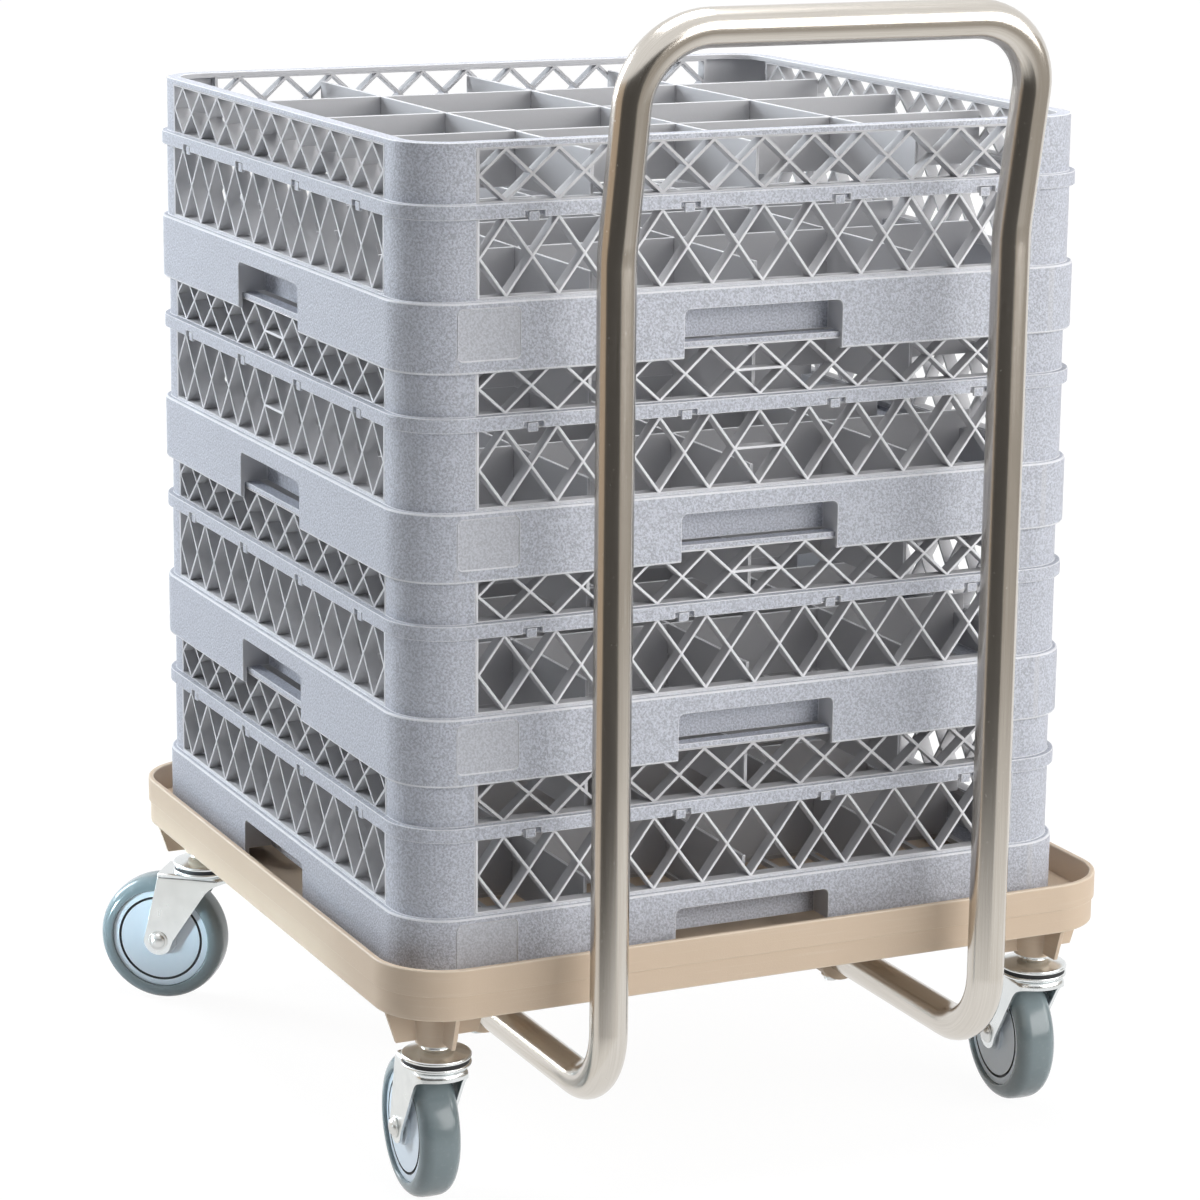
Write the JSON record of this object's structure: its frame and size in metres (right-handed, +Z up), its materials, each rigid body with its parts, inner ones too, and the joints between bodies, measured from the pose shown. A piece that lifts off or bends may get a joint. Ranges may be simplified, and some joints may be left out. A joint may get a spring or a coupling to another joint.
{
  "type": "glass rack dolly",
  "caption": "Low tan plastic tray dolly on swivel casters with a bent steel push handle, carrying stacked square lattice-sided glass racks with dividers that lift off.",
  "frame": {"origin": "on the floor under the middle of the tray", "axes": "+Z up, +X to the right seen from the handle, the handle on the -Y side"},
  "size_m": [0.5694, 0.6542, 0.7955],
  "materials": {
    "tray_plastic": "tan moulded plastic, fine satin grain",
    "handle_steel": "satin stainless tube",
    "zinc_plate": "bright zinc plated pressed steel",
    "bolt_steel": "plated bolt steel",
    "seal_black": "dark swivel seal",
    "wheel_core": "grey moulded wheel core",
    "tyre": "blue grey non-marking rubber",
    "bush_plastic": "dark bush plastic",
    "rack_plastic": "light blue grey grained polypropylene"
  },
  "bodies": {
    "dolly": {"base_tray": "tray_plastic", "tray_rim": "tray_plastic", "handle_legs": "handle_steel", "handle_bow": "handle_steel", "handle_screws": "bolt_steel", "caster_stems": "zinc_plate"},
    "caster_fl": {"fork_fl": "zinc_plate", "swivel_ring_fl": "seal_black", "axle_bolt_fl": "bolt_steel", "axle_nut_fl": "bolt_steel"},
    "wheel_fl": {"wheel_core_fl": "wheel_core", "tyre_fl": "tyre", "hub_bush_fl": "bush_plastic"},
    "caster_fr": {"fork_fr": "zinc_plate", "swivel_ring_fr": "seal_black", "axle_bolt_fr": "bolt_steel", "axle_nut_fr": "bolt_steel"},
    "wheel_fr": {"wheel_core_fr": "wheel_core", "tyre_fr": "tyre", "hub_bush_fr": "bush_plastic"},
    "caster_rl": {"fork_rl": "zinc_plate", "swivel_ring_rl": "seal_black", "axle_bolt_rl": "bolt_steel", "axle_nut_rl": "bolt_steel"},
    "wheel_rl": {"wheel_core_rl": "wheel_core", "tyre_rl": "tyre", "hub_bush_rl": "bush_plastic"},
    "caster_rr": {"fork_rr": "zinc_plate", "swivel_ring_rr": "seal_black", "axle_bolt_rr": "bolt_steel", "axle_nut_rr": "bolt_steel"},
    "wheel_rr": {"wheel_core_rr": "wheel_core", "tyre_rr": "tyre", "hub_bush_rr": "bush_plastic"},
    "rack_1": {"rack_1_base": "rack_plastic", "rack_1_extender": "rack_plastic", "rack_1_lattice": "rack_plastic", "rack_1_floor": "rack_plastic", "rack_1_cross_dividers": "rack_plastic", "rack_1_long_dividers": "rack_plastic"},
    "rack_2": {"rack_2_base": "rack_plastic", "rack_2_extender": "rack_plastic", "rack_2_lattice": "rack_plastic", "rack_2_floor": "rack_plastic", "rack_2_cross_dividers": "rack_plastic", "rack_2_long_dividers": "rack_plastic"},
    "rack_3": {"rack_3_base": "rack_plastic", "rack_3_extender": "rack_plastic", "rack_3_lattice": "rack_plastic", "rack_3_floor": "rack_plastic", "rack_3_cross_dividers": "rack_plastic", "rack_3_long_dividers": "rack_plastic"},
    "rack_4": {"rack_4_base": "rack_plastic", "rack_4_extender": "rack_plastic", "rack_4_lattice": "rack_plastic", "rack_4_floor": "rack_plastic", "rack_4_cross_dividers": "rack_plastic", "rack_4_long_dividers": "rack_plastic"}
  },
  "joints": [
    {"name": "swivel_fl", "type": "hinge", "parent": "dolly", "child": "caster_fl", "pos_m": [-0.2285, -0.2285, 0.1065], "axis": [0, 0, 1], "continuous": true},
    {"name": "roll_fl", "type": "hinge", "parent": "caster_fl", "child": "wheel_fl", "pos_m": [-0.22627, -0.19658, 0.049], "axis": [0.9976, -0.0698, 0], "continuous": true},
    {"name": "swivel_fr", "type": "hinge", "parent": "dolly", "child": "caster_fr", "pos_m": [0.2285, -0.2285, 0.1065], "axis": [0, 0, 1], "continuous": true},
    {"name": "roll_fr", "type": "hinge", "parent": "caster_fr", "child": "wheel_fr", "pos_m": [0.23129, -0.19662, 0.049], "axis": [0.9962, -0.0872, 0], "continuous": true},
    {"name": "swivel_rl", "type": "hinge", "parent": "dolly", "child": "caster_rl", "pos_m": [-0.2285, 0.2285, 0.1065], "axis": [0, 0, 1], "continuous": true},
    {"name": "roll_rl", "type": "hinge", "parent": "caster_rl", "child": "wheel_rl", "pos_m": [-0.25406, 0.24776, 0.049], "axis": [0.6018, 0.7986, 0], "continuous": true},
    {"name": "swivel_rr", "type": "hinge", "parent": "dolly", "child": "caster_rr", "pos_m": [0.2285, 0.2285, 0.1065], "axis": [0, 0, 1], "continuous": true},
    {"name": "roll_rr", "type": "hinge", "parent": "caster_rr", "child": "wheel_rr", "pos_m": [0.21756, 0.25857, 0.049], "axis": [0.9397, 0.342, 0], "continuous": true},
    {"name": "lift_1", "type": "slide", "parent": "dolly", "child": "rack_1", "axis": [0, 0, 1], "range_m": [0, 0.2]},
    {"name": "lift_2", "type": "slide", "parent": "rack_1", "child": "rack_2", "axis": [0, 0, 1], "range_m": [0, 0.2]},
    {"name": "lift_3", "type": "slide", "parent": "rack_2", "child": "rack_3", "axis": [0, 0, 1], "range_m": [0, 0.2]},
    {"name": "lift_4", "type": "slide", "parent": "rack_3", "child": "rack_4", "axis": [0, 0, 1], "range_m": [0, 0.2]}
  ]
}
